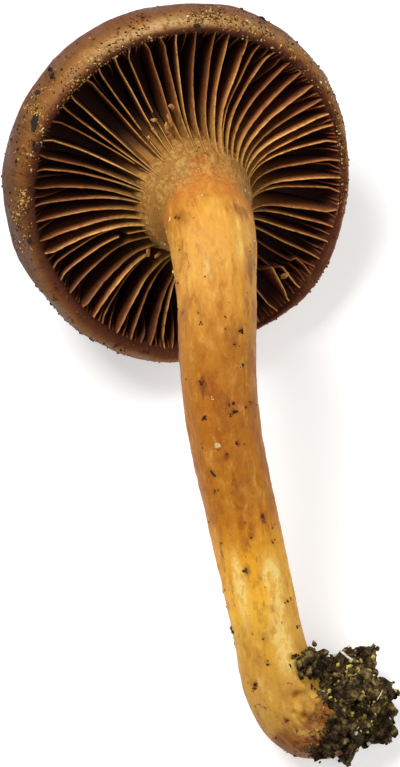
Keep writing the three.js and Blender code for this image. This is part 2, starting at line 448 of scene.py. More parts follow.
# Torn gills: angle in degrees, radius of the tear, height left inside it, lean of the loose end
GILL_TEARS = [
    (300, 22.0, 0.75, 1.6),
    (307, 21.6, 0.7, 1.9),
    (314, 22.0, 0.7, 1.9),
    (321, 23.4, 0.75, 1.6),
    (328, 25.0, 0.85, 1.2),
]

# Section of a gill, from one root over the edge to the other root: height, and side as a share of
# the edge's half thickness
GILL_SECTION = np.array([
    [0.0, -2.1], [0.3, -1.7], [0.6, -1.35], [0.85, -1.1], [0.95, -0.95], [0.99, -0.5],
    [1.0, 0.0],
    [0.99, 0.5], [0.95, 0.95], [0.85, 1.1], [0.6, 1.35], [0.3, 1.7], [0.0, 2.1],
])


def gill_blades(angles, reach, fading, rows, rng):
    """Upright blades from the margin inwards. Each stands from its root in the flesh to an edge
    that rises towards the collar, leans a little, and waves from side to side. A short blade
    fades out before its reach. Breaks take away height and tears bend the loose end over."""
    count = len(angles)
    angles = angles[:, None]
    inward = reach[:, None] * np.linspace(0, 1, rows)[None, :] ** 0.9
    radius = gill_radius(inward, angles)
    root = gill_edge_level(inward) - gill_depth(inward)
    depth = np.maximum(gill_depth(inward), 0.05)
    height = 1 - 0.10 * rng.random((count, 1))
    ripple = np.stack(np.broadcast_arrays(radius, 40.0 * angles, 0 * inward), -1)
    height = height + 0.015 * lattice_noise(ripple, 0.9, 71) + 0.03 * lattice_noise(ripple, 5, 72)
    if fading:
        height = 0.9 * height * (1 - (inward / reach[:, None]) ** 1.4)
    for place, gap_radius, gap, share in GILL_NOTCHES:
        near = np.abs(angle_between(angles, math.radians(place))) < NOTCH_REACH
        height = height - near * share * np.exp(-((radius - gap_radius) / gap) ** 4)
    lean = 0.4 * rng.normal(size=(count, 1)) + 0.2 * lattice_noise(ripple, 10, 73)
    for place, tear_radius, left, bend in GILL_TEARS:
        near = np.abs(angle_between(angles, math.radians(place))) < TEAR_REACH
        inside = 1 - smooth_step(tear_radius - 0.35, tear_radius + 0.1, radius)
        height = height * (1 - near * inside * (1 - left))
        outside = (gill_radius(0, angles) - radius) / (gill_radius(0, angles) - tear_radius)
        lean = lean + near * (1 - inside) * bend * outside
    phases = FULL_TURN * rng.random((2, count, 1))
    wave = 0.10 * np.sin(FULL_TURN * 0.7 * inward + phases[0])
    wave = wave + 0.025 * np.sin(FULL_TURN * 2.2 * inward + phases[1])
    sweep = 0.04 * inward * np.sin(3 * angles)
    up, side = GILL_SECTION.T
    share = np.clip(height, 0.05, 1.1)[..., None] * up
    level = (root - GILL_ROOT_SINK)[..., None] + (depth + GILL_ROOT_SINK)[..., None] * share
    thick = GILL_EDGE_HALF * (0.75 if fading else 1) * np.minimum(1, 0.6 + 1.2 * (1 - inward))
    shift = side * thick[..., None]
    shift = shift + (lean[..., None] * share + wave[..., None]) * smooth_step(0, 0.12, inward)[..., None]
    angle = angles[..., None] + sweep[..., None] + shift / radius[..., None]
    points = cap_points(radius[..., None], angle, level)
    # Painted shade: each gill's tone is partly random and partly darker the further it is turned from the
    # lit angle
    turned = 0.5 - 0.5 * np.cos(angles - GILL_LIT_ANGLE)
    tone = np.broadcast_to((0.4 * rng.random((count, 1)) + 0.6 * turned)[..., None], share.shape)
    fields = {"edge": share, "inward": np.broadcast_to(inward[..., None], share.shape), "tone": tone}
    return blade_skin(points, fields)


def blade_skin(points, fields):
    """Closed blades: quads round each section and along the blade, and a face over each end."""
    count, rows, corners = points.shape[:3]
    index = np.arange(rows * corners).reshape(rows, corners)
    sides = grid_quads(index)
    starts = np.arange(count) * rows * corners
    faces = (starts[:, None, None] + sides).reshape(-1, 4).tolist()
    faces += (starts[:, None] + index[0, ::-1]).tolist()
    faces += (starts[:, None] + index[-1]).tolist()
    flat = {key: values.reshape(-1, 1) for key, values in fields.items()}
    return points.reshape(-1, 3), faces, flat


def gill_places(rng):
    """Angles of the long gills, unevenly spaced, and of the short ones that stand between them."""
    order = np.arange(LONG_GILLS) + 0.32 * (rng.random(LONG_GILLS) - 0.5)
    long_angles = FULL_TURN * order / LONG_GILLS
    gap = np.diff(np.append(long_angles, long_angles[0] + FULL_TURN))
    middle_angles = long_angles + gap * (0.5 + 0.16 * (rng.random(LONG_GILLS) - 0.5))
    middle_reach = 0.12 + 0.6 * rng.random(LONG_GILLS) ** 1.5
    small_angles = np.concatenate([long_angles + 0.27 * gap, long_angles + 0.75 * gap])
    small_reach = 0.06 + 0.12 * rng.random(2 * LONG_GILLS)
    kept = rng.random(2 * LONG_GILLS) < 0.62
    short_angles = np.concatenate([middle_angles, small_angles[kept]])
    short_reach = np.concatenate([middle_reach, small_reach[kept]])
    return long_angles, short_angles, short_reach


# Stem

def smooth_line(rows, steps):
    """A Catmull-Rom curve through rows of numbers, with even parameter steps."""
    place = np.linspace(0, len(rows) - 1, steps)
    start = np.minimum(place.astype(int), len(rows) - 2)
    share = (place - start)[:, None]
    ends = np.vstack([2 * rows[0] - rows[1], rows, 2 * rows[-1] - rows[-2]])
    before, first, second, after = (ends[start + k] for k in range(4))
    return first + 0.5 * share * (
        second - before
        + share * (2 * before - 5 * first + 4 * second - after)
        + share ** 2 * (3 * (first - second) + after - before)
    )


def even_line(rows, count):
    """The same curve in steps of even length, with the length so far."""
    fine = smooth_line(rows, 4000)
    length = np.concatenate([[0], np.cumsum(np.linalg.norm(np.diff(fine[:, :3], axis=0), axis=1))])
    even = np.linspace(0, length[-1], count)
    return np.stack([np.interp(even, length, column) for column in fine.T], -1), even


def carried_sides(tangents):
    """A side direction carried along a path without twisting: each is the last one made square to
    its own tangent."""
    side = np.array([1.0, 0.0, 0.0])
    sides = []
    for tangent in tangents:
        side = unit(side - tangent * (side @ tangent))
        sides.append(side)
    return np.array(sides)


def rings_round(path, columns):
    """A ring of outward directions at each point of a path."""
    tangent = unit(np.gradient(path, axis=0))
    side = carried_sides(tangent)
    across = np.cross(tangent, side)
    angle = ring_angles(columns)[None, :, None]
    return side[:, None] * np.cos(angle) + across[:, None] * np.sin(angle)


# Dents and swellings of the stem: pixel, width, height
STEM_BUMPS = [
    ((297, 695), 0.8, -1.1),
    ((302, 689), 1.0, 0.5),
    ((255, 687), 0.7, -0.5),
    ((287, 721), 0.5, -0.4),
    ((299, 709), 0.9, 0.8),
    ((310, 711), 0.8, 0.8),
    ((304, 714), 0.55, -0.9),
    ((294, 713), 0.45, -0.6),
    ((316, 700), 1.2, 0.7),
    ((328, 712), 1.6, 0.4),
    ((250, 212), 3.0, 0.45),
    ((231, 630), 0.6, 0.25),
]

# Patches of the stem: pixel, length along it, width across it, strength
# Pale patches: partly the stem's own pale streaks, partly painted highlights
PALE_AND_HIGHLIGHT_PATCHES = [
    ((236, 568), 5.0, 1.2, 0.8),
    ((243, 602), 7.0, 2.0, 1.0),
    ((273, 572), 3.5, 2.0, 0.8),
    ((280, 612), 10.0, 2.6, 1.0),
    ((284, 650), 6.0, 2.2, 0.7),
    ((262, 690), 5.0, 2.5, 0.5),
    ((240, 247), 4.0, 1.1, 0.7),
    ((217, 226), 5.0, 2.6, 0.45),
    ((205, 280), 4.0, 1.4, 0.5),
    ((238, 222), 1.5, 0.6, 0.5),
]
RUST_PATCHES = [
    ((203, 386), 2.4, 1.8, 0.8),
    ((221, 553), 3.0, 0.8, 0.8),
    ((232, 595), 6.0, 0.6, 0.7),
    ((262, 590), 9.0, 1.0, 0.5),
    ((228, 205), 2.0, 4.0, 0.6),
    ((247, 212), 3.0, 3.0, 0.35),
    ((286, 735), 1.6, 5.0, 0.7),
    ((300, 745), 2.0, 5.0, 0.8),
    ((322, 680), 1.5, 2.5, 0.8),
    ((335, 725), 3.0, 3.0, 0.8),
    ((312, 735), 2.5, 4.0, 0.6),
    ((326, 712), 2.0, 3.0, 0.5),
    ((300, 752), 2.0, 5.0, 0.8),
    ((314, 674), 1.5, 2.0, 0.8),
    ((232, 250), 3.0, 0.8, 0.35),
    ((190, 270), 6.0, 1.0, 0.4),
    ((250, 300), 5.0, 0.9, 0.3),
    ((250, 260), 8.0, 1.0, 0.15),
    ((238, 500), 8.0, 1.2, 0.4),
]


def stem_rows(gill_angles, count=330, columns=200):
    """A tube along the stem's line. Its radius flares to the collar at the cap, where the gills
    run out as ridges, and low fibres, swellings and dents lift its surface."""
    line, length = even_line(STEM_LINE, count)
    centre, radius = line[:, :3], line[:, 3]
    angle = ring_angles(columns)
    out = rings_round(centre, columns)
    flare = COLLAR_FLARE / (1 + np.exp((length - COLLAR_MIDDLE) / COLLAR_FALL))
    reach = (radius + flare)[:, None] * np.ones(columns)
    base = centre[:, None] + reach[..., None] * out
    local = (base - CAP_CENTRE) @ CAP_TURN
    spot = np.arctan2(local[..., 1], local[..., 0])
    nearest = np.abs(angle_between(spot[..., None], gill_angles)).min(-1)
    ridge = bell(nearest, 0.05) * (1 - smooth_step(5, 9.5, length))[:, None]
    girth = np.stack([STEM_GIRTH * np.cos(angle), STEM_GIRTH * np.sin(angle)], -1)[None] + 0 * base[..., :2]
    fibre = np.concatenate([girth, length[:, None, None] + 0 * base[..., :1]], -1)
    stretched = fibre * np.array([1, 1, 0.14])
    lift = 0.25 * ridge + 0.22 * rough_noise(fibre * np.array([1, 1, 0.4]), 7, 81)
    lift = lift + 0.10 * rough_noise(stretched, 1.7, 91) + 0.05 * rough_noise(fibre, 1.1, 101)
    rows = base + lift[..., None] * out
    normals = grid_normals(rows)
    flat_rows = rows.reshape(-1, 3)

    def patch(pixel, along, wide):
        found = under_pixels(pixel, flat_rows, normals.reshape(-1, 3))[0]
        row, column = divmod(found, columns)
        turn = angle_between(angle, angle[column])
        return bell(length - length[row], along)[:, None] * bell(turn * STEM_GIRTH, wide)[None, :]

    # Pale patches, partly painted highlights
    pale = sum(strength * patch(pixel, along, wide) for pixel, along, wide, strength in PALE_AND_HIGHLIGHT_PATCHES)
    rust = sum(strength * patch(pixel, along, wide) for pixel, along, wide, strength in RUST_PATCHES)
    rust = rust + sum(0.7 * patch(pixel, 0.8, 0.6) for pixel, _, tone in STEM_BITS if tone < 0.25)
    rust = np.minimum(rust, 1)
    bumps = sum(height * patch(pixel, width, width) for pixel, width, height in STEM_BUMPS)
    rows = rest_on_floor(rows + bumps[..., None] * out)
    along = np.broadcast_to((length / length[-1])[:, None], rows.shape[:2])
    return rows, {"along": along, "fibre": fibre, "pale": pale, "rust": rust}


# Earth

def clod_rows(count=150, columns=230):
    """The clump as one lump seen from its middle: in each direction the reach is that of the
    furthest clod, softly blended, with crumbs and hollows on it."""
    middle = SOIL_CLODS[0, :3]
    rise = np.linspace(-0.5 * np.pi, 0.5 * np.pi, count + 2)[1:-1][:, None]
    angle = ring_angles(columns)[None, :]
    way = ball_ways(rise, angle)
    offset = SOIL_CLODS[:, :3] - middle
    along = way @ offset.T
    inside = along ** 2 - (offset ** 2).sum(-1) + SOIL_CLODS[:, 3] ** 2
    reach = np.where(inside > 0, along + np.sqrt(np.maximum(inside, 0)), 0)
    reach = (np.maximum(reach, 0) ** CLOD_BLEND).sum(-1) ** (1 / CLOD_BLEND)
    rows = middle + reach[..., None] * way
    crumb = 1.9 * rough_noise(rows, 4.2, 111, 2) - 1.2
    crumb = crumb + 1.9 * (0.3 - np.abs(lattice_noise(rows, 2.8, 121)))
    crumb = crumb + 0.9 * (0.3 - np.abs(lattice_noise(rows, 1.1, 131)))
    rows = middle + (reach + crumb)[..., None] * way
    return rest_on_floor(rows)


# Grains

def grain_skin(places, normals, sizes, stretch, tones, rng, sunk):
    """Pebbles that sit on a surface: each is a ball of three rings of six points between two poles,
    with its points moved in and out, spun about the normal, stretched, and sunk a little."""
    count = len(places)
    corners = 6
    rise = np.array([-0.9, 0.0, 0.9])[:, None]
    turn = ring_angles(corners)[None, :] + np.array([0.0, 0.5, 0.0])[:, None]
    ball = np.vstack([[0, 0, -1], ball_ways(rise, turn).reshape(-1, 3), [0, 0, 1]])
    shapes = ball * (1 + 0.28 * (rng.random((count, len(ball), 1)) * 2 - 1))
    shapes = shapes * stretch[:, None, :] * sizes[:, None, None] / 2
    spin = FULL_TURN * rng.random(count)
    helper = np.where(np.abs(normals[:, :1]) < 0.8, [[1.0, 0, 0]], [[0, 1.0, 0]])
    first = unit(np.cross(normals, helper))
    second = np.cross(normals, first)
    long_way = first * np.cos(spin)[:, None] + second * np.sin(spin)[:, None]
    short_way = np.cross(normals, long_way)
    axes = np.stack([long_way, short_way, normals], 1)
    lifted = places + normals * (sizes * stretch[:, 2] * (0.5 - sunk))[:, None]
    points = lifted[:, None] + shapes @ axes
    index = np.arange(len(rise) * corners).reshape(-1, corners) + 1
    after = np.roll(index, -1, axis=1)
    low = np.stack([np.zeros(corners, int), after[0], index[0]], -1)
    high = np.stack([index[-1], after[-1], np.full(corners, len(ball) - 1)], -1)
    starts = np.arange(count)[:, None, None] * len(ball)
    faces = (starts + grid_quads(index)).reshape(-1, 4).tolist()
    faces += (starts + np.vstack([low, high])).reshape(-1, 3).tolist()
    points = rest_on_floor(points.reshape(-1, 3))
    return points, faces, {"tone": np.repeat(tones, len(ball))[:, None]}


def grain_stretch(count, rng, flat):
    """Length, width and height of grains as shares of their size."""
    long = 1 + 0.7 * rng.random(count) ** 2
    wide = 0.6 + 0.4 * rng.random(count)
    high = flat * (0.8 + 0.4 * rng.random(count))
    return np.stack([long, wide, high], -1)


# Grains of each piece: least size, what is added to it at most, and the power that keeps most of
# them small, then height and depth in the surface as shares of the size
GRAINS = {
    "rim_sand": (0.17, 0.3, 2, 0.75, 0.35),
    "rim_dirt": (0.2, 0.36, 2.5, 0.75, 0.35),
    "stem_bits": (0.16, 0.25, 2, 0.5, 0.3),
    "foot_dirt": (0.16, 0.5, 3, 0.6, 0.3),
    "pale_grain": (1.1, 0, 1, 0.75, 0.35),
    "earth_crumbs": (0.25, 2.4, 5, 0.8, 0.4),
    "foot_earth": (0.35, 1.6, 3, 0.9, 0.4),
    "earth_grains": (0.35, 0.75, 2, 0.8, 0.2),
}
RIM_SAND_TIMES = 1.7
LOOSE_RIM_DIRT = 420
LOOSE_STEM_BITS = 150
EARTH_CRUMBS = 900
EARTH_GRAINS = 520


def grain_sizes(name, count, rng):
    """Random sizes for the grains of a piece."""
    least, added, power = GRAINS[name][:3]
    return least + added * rng.random(count) ** power


# Sand and dirt on the rim: pixel of the middle, spread in pixels, number of grains
RIM_SAND = [
    ((198, 16), (9, 5), 70),
    ((214, 17), (7, 5), 45),
    ((233, 22), (8, 5), 34),
    ((252, 30), (8, 5), 34),
    ((264, 35), (6, 4), 26),
    ((290, 50), (8, 6), 36),
    ((305, 65), (6, 6), 16),
    ((322, 78), (5, 7), 24),
    ((333, 95), (4, 9), 18),
    ((340, 130), (3, 16), 26),
    ((342, 165), (3, 18), 30),
    ((341, 205), (3, 18), 22),
    ((145, 35), (22, 4), 30),
    ((115, 50), (18, 5), 34),
    ((95, 64), (9, 6), 34),
    ((80, 80), (8, 7), 48),
    ((66, 98), (8, 8), 30),
    ((32, 97), (8, 10), 40),
    ((28, 110), (7, 6), 30),
    ((42, 125), (4, 10), 34),
    ((26, 155), (6, 10), 22),
    ((20, 210), (5, 12), 60),
    ((24, 200), (4, 6), 24),
    ((25, 240), (4, 9), 20),
    ((60, 60), (14, 12), 26),
]
RIM_DIRT = [
    ((140, 18), (9, 4), 26),
    ((120, 28), (16, 8), 24),
    ((52, 76), (4, 5), 26),
    ((60, 90), (14, 16), 26),
    ((22, 150), (9, 30), 40),
    ((20, 215), (6, 20), 24),
    ((265, 20), (8, 3), 14),
    ((215, 14), (9, 5), 26),
    ((342, 150), (4, 40), 40),
    ((325, 285), (8, 14), 20),
    ((60, 310), (20, 20), 26),
    ((120, 350), (30, 6), 16),
]


def scattered_pixels(clusters, rng):
    """Pixels drawn round the middle of each cluster."""
    return np.vstack([rng.normal(middle, spread, (count, 2)) for middle, spread, count in clusters])


def thicker(clusters, times):
    """The same clusters with more grains in each."""
    return [(middle, spread, int(count * times)) for middle, spread, count in clusters]


def strewn(points, normals, count, rng, weight):
    """Random places on a grid of points, likelier where the weight is large."""
    chosen = rng.choice(len(points), count, p=weight / weight.sum())
    return points[chosen], normals[chosen]


# Flakes of bark on the rim: pixel, length, width, turn of the long way in degrees
BARK_FLAKES = [
    ((35, 122), 3.1, 1.5, 78),
    ((38, 93), 1.4, 1.0, 150),
    ((36, 147), 1.3, 0.9, 60),
    ((52, 76), 1.1, 0.7, 100),
    ((50, 70), 0.7, 0.6, 20),
    ((196, 26), 1.2, 0.8, 10),
    ((262, 19), 1.2, 0.5, 150),
    ((30, 240), 0.9, 0.9, 40),
]


def squared(values):
    """Sines or cosines of a circle pulled out towards those of a square."""
    return np.sign(values) * np.abs(values) ** 0.6


def plate_skin(place, normal, long_way, length, width, rng, rows=9, columns=16):
    """A thin ragged plate that lies on a surface: its points run from the middle of one face over
    the edge to the middle of the other, and noise makes the outline and both faces uneven."""
    angle = ring_angles(columns)[None, :]
    swing = np.linspace(-0.5 * np.pi, 0.5 * np.pi, rows)[1:-1, None]
    wide = np.cos(swing) ** 0.55
    ragged = 1 + 0.22 * (rng.random((1, columns)) * 2 - 1)
    along = 0.5 * length * wide * ragged * squared(np.cos(angle))
    across = 0.5 * width * wide * ragged * squared(np.sin(angle))
    high = 0.18 * np.sin(swing) + 0.12 * np.cos(3 * along) + 0.16
    long_way = unit(long_way - normal * (long_way @ normal))
    short_way = np.cross(normal, long_way)
    plate = place + along[..., None] * long_way + across[..., None] * short_way + high[..., None] * normal
    return round_skin(plate, {}, True, True)


def flake_skins(points, normals, rng):
    """Flakes of bark that lie on the rim."""
    found = under_pixels([flake[0] for flake in BARK_FLAKES], points, normals)
    skins = []
    for place, normal, (_, length, width, turn) in zip(points[found], normals[found], BARK_FLAKES):
        long_way = VIEW_RIGHT * math.cos(math.radians(turn)) + VIEW_UP * math.sin(math.radians(turn))
        skins.append(plate_skin(place, normal, long_way, length, width, rng))
    return joined(skins)


# Loose shreds of broken gills: angle in degrees, radius, length, width, turn from the gills' own way.
# They lie a little below the gills' edges, tilted up outwards
SHRED_SINK = 0.5
SHRED_TILT = 0.3
GILL_SHREDS = [
    (111, 13.4, 2.6, 0.9, 4),
    (116, 12.6, 2.2, 0.7, -8),
    (121, 14.6, 1.3, 0.6, 50),
    (125, 13.2, 1.8, 0.6, 6),
    (107, 15.4, 1.2, 0.8, 35),
    (132, 12.8, 1.1, 0.5, -30),
    (236, 12.4, 1.6, 0.7, 30),
    (243, 11.8, 1.3, 0.6, -20),
    (322, 25.0, 1.7, 1.0, 60),
]


def shred_skins(rng):
    """Plates at the height of the gills' edges."""
    skins = []
    for degrees, radius, length, width, turn in GILL_SHREDS:
        angle = math.radians(degrees)
        inward = (GILL_OUTER_RADIUS - radius) / (GILL_OUTER_RADIUS - GILL_INNER_RADIUS)
        place = cap_points(radius, angle, gill_edge_level(inward) - SHRED_SINK)
        way = angle + math.radians(turn)
        long_way = CAP_TURN @ np.array([math.cos(way), math.sin(way), SHRED_TILT])
        skins.append(plate_skin(place, CAP_TURN[:, 2], long_way, length, width, rng))
    return joined(skins)


# Dirt round the foot: pixel of the middle, spread in pixels, number of grains
FOOT_DIRT = [
    ((320, 690), (5, 10), 40),
    ((326, 715), (6, 10), 60),
    ((316, 738), (7, 8), 70),
    ((304, 750), (9, 4), 40),
    ((308, 670), (6, 5), 26),
    ((288, 735), (8, 10), 14),
]

# Bits stuck to the stem: pixel, size, tone from dark 0 to pale 1. Each is a few bits together, a few
# pixels apart, that are smaller by a random share
BITS_TOGETHER = 3
BITS_APART = 1.3
BIT_SHARE_LEAST = 0.35
BIT_SHARE_ADDED = 0.5
STEM_BITS = [
    ((241, 331), 0.75, 0.05), ((236, 345), 0.55, 0.1), ((242, 365), 0.6, 0.1), ((201, 323), 0.5, 0.15),
    ((182, 313), 0.4, 0.15), ((202, 383), 0.7, 0.2), ((212, 397), 0.5, 0.8), ((204, 418), 0.9, 0.05),
    ((229, 403), 0.7, 0.1), ((234, 410), 0.8, 0.08), ((231, 415), 0.7, 0.15), ((245, 408), 0.5, 0.15),
    ((252, 404), 0.55, 0.1), ((238, 443), 0.7, 0.05), ((245, 444), 0.45, 0.3), ((226, 456), 0.4, 0.2),
    ((216, 492), 0.45, 0.1), ((262, 517), 0.6, 0.1), ((264, 520), 0.5, 0.15), ((272, 525), 0.4, 0.2),
    ((252, 538), 0.4, 0.1), ((272, 540), 0.45, 0.1), ((245, 570), 0.65, 0.15), ((287, 602), 0.6, 0.2),
    ((290, 598), 0.5, 0.4), ((297, 627), 0.65, 0.05), ((232, 632), 0.9, 0.05), ((231, 628), 0.6, 0.15),
    ((269, 663), 0.6, 0.12), ((231, 645), 0.5, 0.1), ((255, 683), 0.7, 0.1), ((254, 690), 0.6, 0.15),
    ((258, 703), 0.5, 0.3), ((287, 721), 0.6, 0.15), ((291, 684), 0.4, 0.3), ((178, 218), 0.55, 0.05),
    ((170, 220), 0.7, 0.95), ((167, 232), 0.55, 0.9), ((166, 242), 0.7, 0.98), ((170, 273), 0.8, 0.98),
    ((248, 193), 0.7, 0.95), ((201, 195), 0.45, 0.85), ((198, 151), 0.5, 0.05), ((206, 151), 0.35, 0.15),
    ((256, 241), 0.45, 0.85), ((199, 171), 0.4, 0.85), ((179, 250), 0.5, 0.15), ((178, 283), 0.5, 0.1),
    ((320, 717), 0.9, 0.35), ((318, 743), 0.8, 0.5), ((225, 590), 0.5, 0.7), ((262, 708), 0.5, 0.6),
]

# A pale grain and a stick of bark on the stem: the pixels that they cover
GRAIN_SEED = np.array([[217.5, 445.5]])
STICK_PIXELS = np.array([[211, 471], [214, 474], [216, 476]])

# Root threads on the earth: pixels that each passes, radius
ROOT_THREADS = [
    ([(339, 652), (344, 655), (350, 659), (357, 662)], 0.22),
    ([(352, 642), (350, 648), (349, 655)], 0.10),
    ([(318, 693), (324, 691), (328, 695)], 0.12),
    ([(377, 700), (381, 690), (378, 680)], 0.10),
]


def tube_skin(path, radius, lift, normals, columns=8, count=24):
    """A thin thread: circles along a smooth path that is lifted off the surface, narrowing at both ends."""
    raised = path + normals * lift
    line = smooth_line(raised, count)
    swing = np.sin(np.linspace(0.05, np.pi - 0.05, count))
    taper = radius * np.sqrt(np.clip(swing * 3, 0.05, 1))[:, None, None]
    return round_skin(line[:, None] + taper * rings_round(line, columns), {}, True, True)


def joined(skins):
    """Several skins without fields as one."""
    points, faces, start = [], [], 0
    for part, part_faces, _ in skins:
        points.append(part)
        faces += [[index + start for index in face] for face in part_faces]
        start += len(part)
    return np.vstack(points), faces, {}


# Finishes

def tint(red, green, blue):
    """The linear colour of 8-bit red, green and blue."""
    shade = np.array([red, green, blue]) / 255
    linear = np.where(shade <= 0.04045, shade / 12.92, ((shade + 0.055) / 1.055) ** 2.4)
    return (*linear.tolist(), 1.0)


class Finish:
    """A procedural material with short makers for the nodes that it is made of."""

    def __init__(self, name, roughness, specular=0.4):
        self.material = bpy.data.materials.new(name)
        self.material.use_nodes = True
        self.tree = self.material.node_tree
        self.shader = self.tree.nodes["Principled BSDF"]
        self.shader.inputs["Roughness"].default_value = roughness
        self.shader.inputs["Specular IOR Level"].default_value = specular

    def put(self, source, socket):
        """A node's output is linked to a socket, and a number or colour is set on it."""
        if isinstance(source, bpy.types.NodeSocket):
            self.tree.links.new(source, socket)
        else:
            socket.default_value = source

    def node(self, kind, output, inputs, **settings):
        """The output of a new node, with its settings made and its inputs put in."""
        node = self.tree.nodes.new("ShaderNode" + kind)
        for key, value in settings.items():
            setattr(node, key, value)
        for key, source in inputs.items():
            self.put(source, node.inputs[key])
        return node.outputs[output]

    def field(self, name, output="Fac"):
        """Values that are stored on the mesh."""
        return self.node("Attribute", output, {}, attribute_name=name)

    def place(self):
        """Object coordinates in millimetres."""
        return self.scaled(self.node("TexCoord", "Object", {}), (1 / MM, 1 / MM, 1 / MM))

    def scaled(self, vector, scale):
        return self.node("Mapping", "Vector", {"Vector": vector, "Scale": scale})

    def noise(self, vector, size, detail=3, roughness=0.55):
        inputs = {"Vector": vector, "Scale": 1 / size, "Detail": detail, "Roughness": roughness}
        return self.node("TexNoise", "Fac", inputs)

    def ramp(self, factor, stops, steps=False):
        node = self.tree.nodes.new("ShaderNodeValToRGB")
        self.put(factor, node.inputs["Fac"])
        ramp = node.color_ramp
        ramp.interpolation = "CONSTANT" if steps else "LINEAR"
        while len(ramp.elements) < len(stops):
            ramp.elements.new(1.0)
        for element, (place, colour) in zip(ramp.elements, stops):
            element.position = place
            element.color = colour
        return node.outputs["Color"]

    def fade(self, factor, low, high):
        """A smooth rise from 0 at low to 1 at high."""
        inputs = {"Value": factor, "From Min": low, "From Max": high}
        return self.node("MapRange", "Result", inputs, interpolation_type="SMOOTHSTEP")

    def sum(self, operation, first, second):
        """Arithmetic on two values."""
        return self.node("Math", "Value", {0: first, 1: second}, operation=operation)

    def mix(self, factor, first, second):
        return self.node("Mix", 2, {0: factor, 6: first, 7: second}, data_type="RGBA")

    def stain(self, where, base, share, colour):
        """The base taken a share of the way to another colour where a factor says so."""
        return self.mix(where, base, self.mix(share, base, colour))

    def colour(self, source):
        self.put(source, self.shader.inputs["Base Color"])

    def roughness(self, source):
        self.put(source, self.shader.inputs["Roughness"])

    def relief(self, height, depth, under=None):
        """A bump of the given depth in millimetres, on top of another one."""
        inputs = {"Height": height, "Distance": depth * MM}
        if under is not None:
            inputs["Normal"] = under
        normal = self.node("Bump", "Normal", inputs)
        self.put(normal, self.shader.inputs["Normal"])
        return normal


def skin_finish():
    """Brown cap skin: orange-brown on the lip, tan dust and a painted highlight on its crest, painted
    shade on one side of the lip, red-brown towards the gills and the apex, with fine fibres that run
    from the apex to the margin."""
    finish = Finish("cap skin", 0.5, 0.22)
    skin = finish.field("skin", "Vector")
    rim = finish.field("rim")
    fibres = finish.scaled(skin, (1, 1, 0.08))
    blotch = finish.noise(finish.place(), 6, 4, 0.6)
    thread = finish.noise(fibres, 0.55, 4)
    dust = finish.noise(finish.place(), 0.7, 4, 0.65)
    shifted = finish.sum("ADD", rim, finish.sum("MULTIPLY", finish.sum("SUBTRACT", blotch, 0.5), 0.14))
    base = finish.ramp(shifted, [
        (0.00, tint(80, 36, 13)),
        (0.30, tint(94, 47, 16)),
        (0.52, tint(102, 56, 18)),
        (0.64, tint(120, 72, 22)),
        (0.73, tint(144, 92, 30)),
        (0.80, tint(134, 80, 24)),
        (0.86, tint(98, 47, 15)),
        (0.93, tint(66, 27, 9)),
    ])
    base = finish.stain(finish.fade(thread, 0.48, 0.72), base, 0.5, tint(62, 28, 12))
    base = finish.stain(finish.fade(blotch, 0.55, 0.78), base, 0.3, tint(176, 122, 58))
    # The crest is paled with dust and a painted highlight
    powder = finish.sum("MULTIPLY", finish.field("crest"), finish.fade(dust, 0.34, 0.56))
    base = finish.mix(finish.sum("MULTIPLY", powder, 0.8), base, tint(198, 164, 112))
    # Painted shade on one side of the lip
    base = finish.mix(finish.sum("MULTIPLY", finish.field("painted_shade_side"), 0.5), base, tint(68, 30, 9))
    base = finish.stain(finish.fade(dust, 0.6, 0.72), base, 0.5, tint(48, 24, 12))
    finish.colour(base)
    finish.roughness(finish.fade(blotch, -0.5, 1.2))
    low = finish.relief(thread, 0.10)
    finish.relief(dust, 0.22, low)
    return finish.material


def gill_finish():
    """Brown gills: dark at the root, partly their own colour and partly painted shade, ochre along the
    edge, and paler towards the collar. Gills turned from the light get painted shade on their faces.
    """
    finish = Finish("gills", 0.62, 0.3)
    edge = finish.field("edge")
    inward = finish.field("inward")
    tone = finish.field("tone")
    speckle = finish.noise(finish.place(), 0.9, 4)
    # Darker towards the root: partly the gills' own colour, partly painted shade in the valleys between
    # them
    face = finish.ramp(edge, [
        (0.0, tint(30, 11, 6)),
        (0.40, tint(84, 38, 20)),
        (0.78, tint(138, 76, 38)),
        (0.93, tint(178, 114, 54)),
        (1.0, tint(230, 172, 92)),
    ])
    near_collar = finish.ramp(edge, [
        (0.0, tint(150, 98, 44)),
        (0.5, tint(168, 114, 52)),
        (1.0, tint(192, 140, 68)),
    ])
    base = finish.mix(finish.fade(inward, 0.56, 0.92), face, near_collar)
    # Painted shade on the faces below the edge, strongest on gills turned away from the light
    shade = finish.sum("MULTIPLY", tone, finish.fade(edge, 1.02, 0.80))
    base = finish.stain(shade, base, 0.7, tint(40, 16, 8))
    base = finish.stain(finish.fade(speckle, 0.46, 0.74), base, 0.6, tint(60, 28, 14))
    finish.colour(base)
    finish.relief(finish.noise(finish.place(), 0.5, 3), 0.08)
    return finish.material


def shred_finish():
    """Torn gill flesh, ochre and mottled."""
    finish = Finish("gill shreds", 0.7, 0.2)
    spot = finish.noise(finish.place(), 0.6, 4)
    finish.colour(finish.ramp(spot, [
        (0.35, tint(112, 64, 30)),
        (0.50, tint(164, 108, 52)),
        (0.65, tint(196, 142, 76)),
    ]))
    finish.relief(spot, 0.1)
    return finish.material


def bed_finish():
    """The flesh between the gills, dark with its own colour and with painted shade in the deep valleys,
    and paler where it meets the collar.
    """
    finish = Finish("gill flesh", 0.8, 0.2)
    inward = finish.field("inward")
    # Dark in the valleys: partly the flesh's own colour, partly painted shade
    base = finish.ramp(inward, [
        (0.0, tint(84, 40, 20)),
        (0.1, tint(38, 15, 8)),
        (0.72, tint(50, 23, 11)),
        (0.84, tint(104, 62, 28)),
        (0.93, tint(156, 106, 48)),
        (1.0, tint(156, 108, 47)),
    ])
    finish.colour(base)
    finish.relief(finish.noise(finish.place(), 0.8, 3), 0.15)
    return finish.material


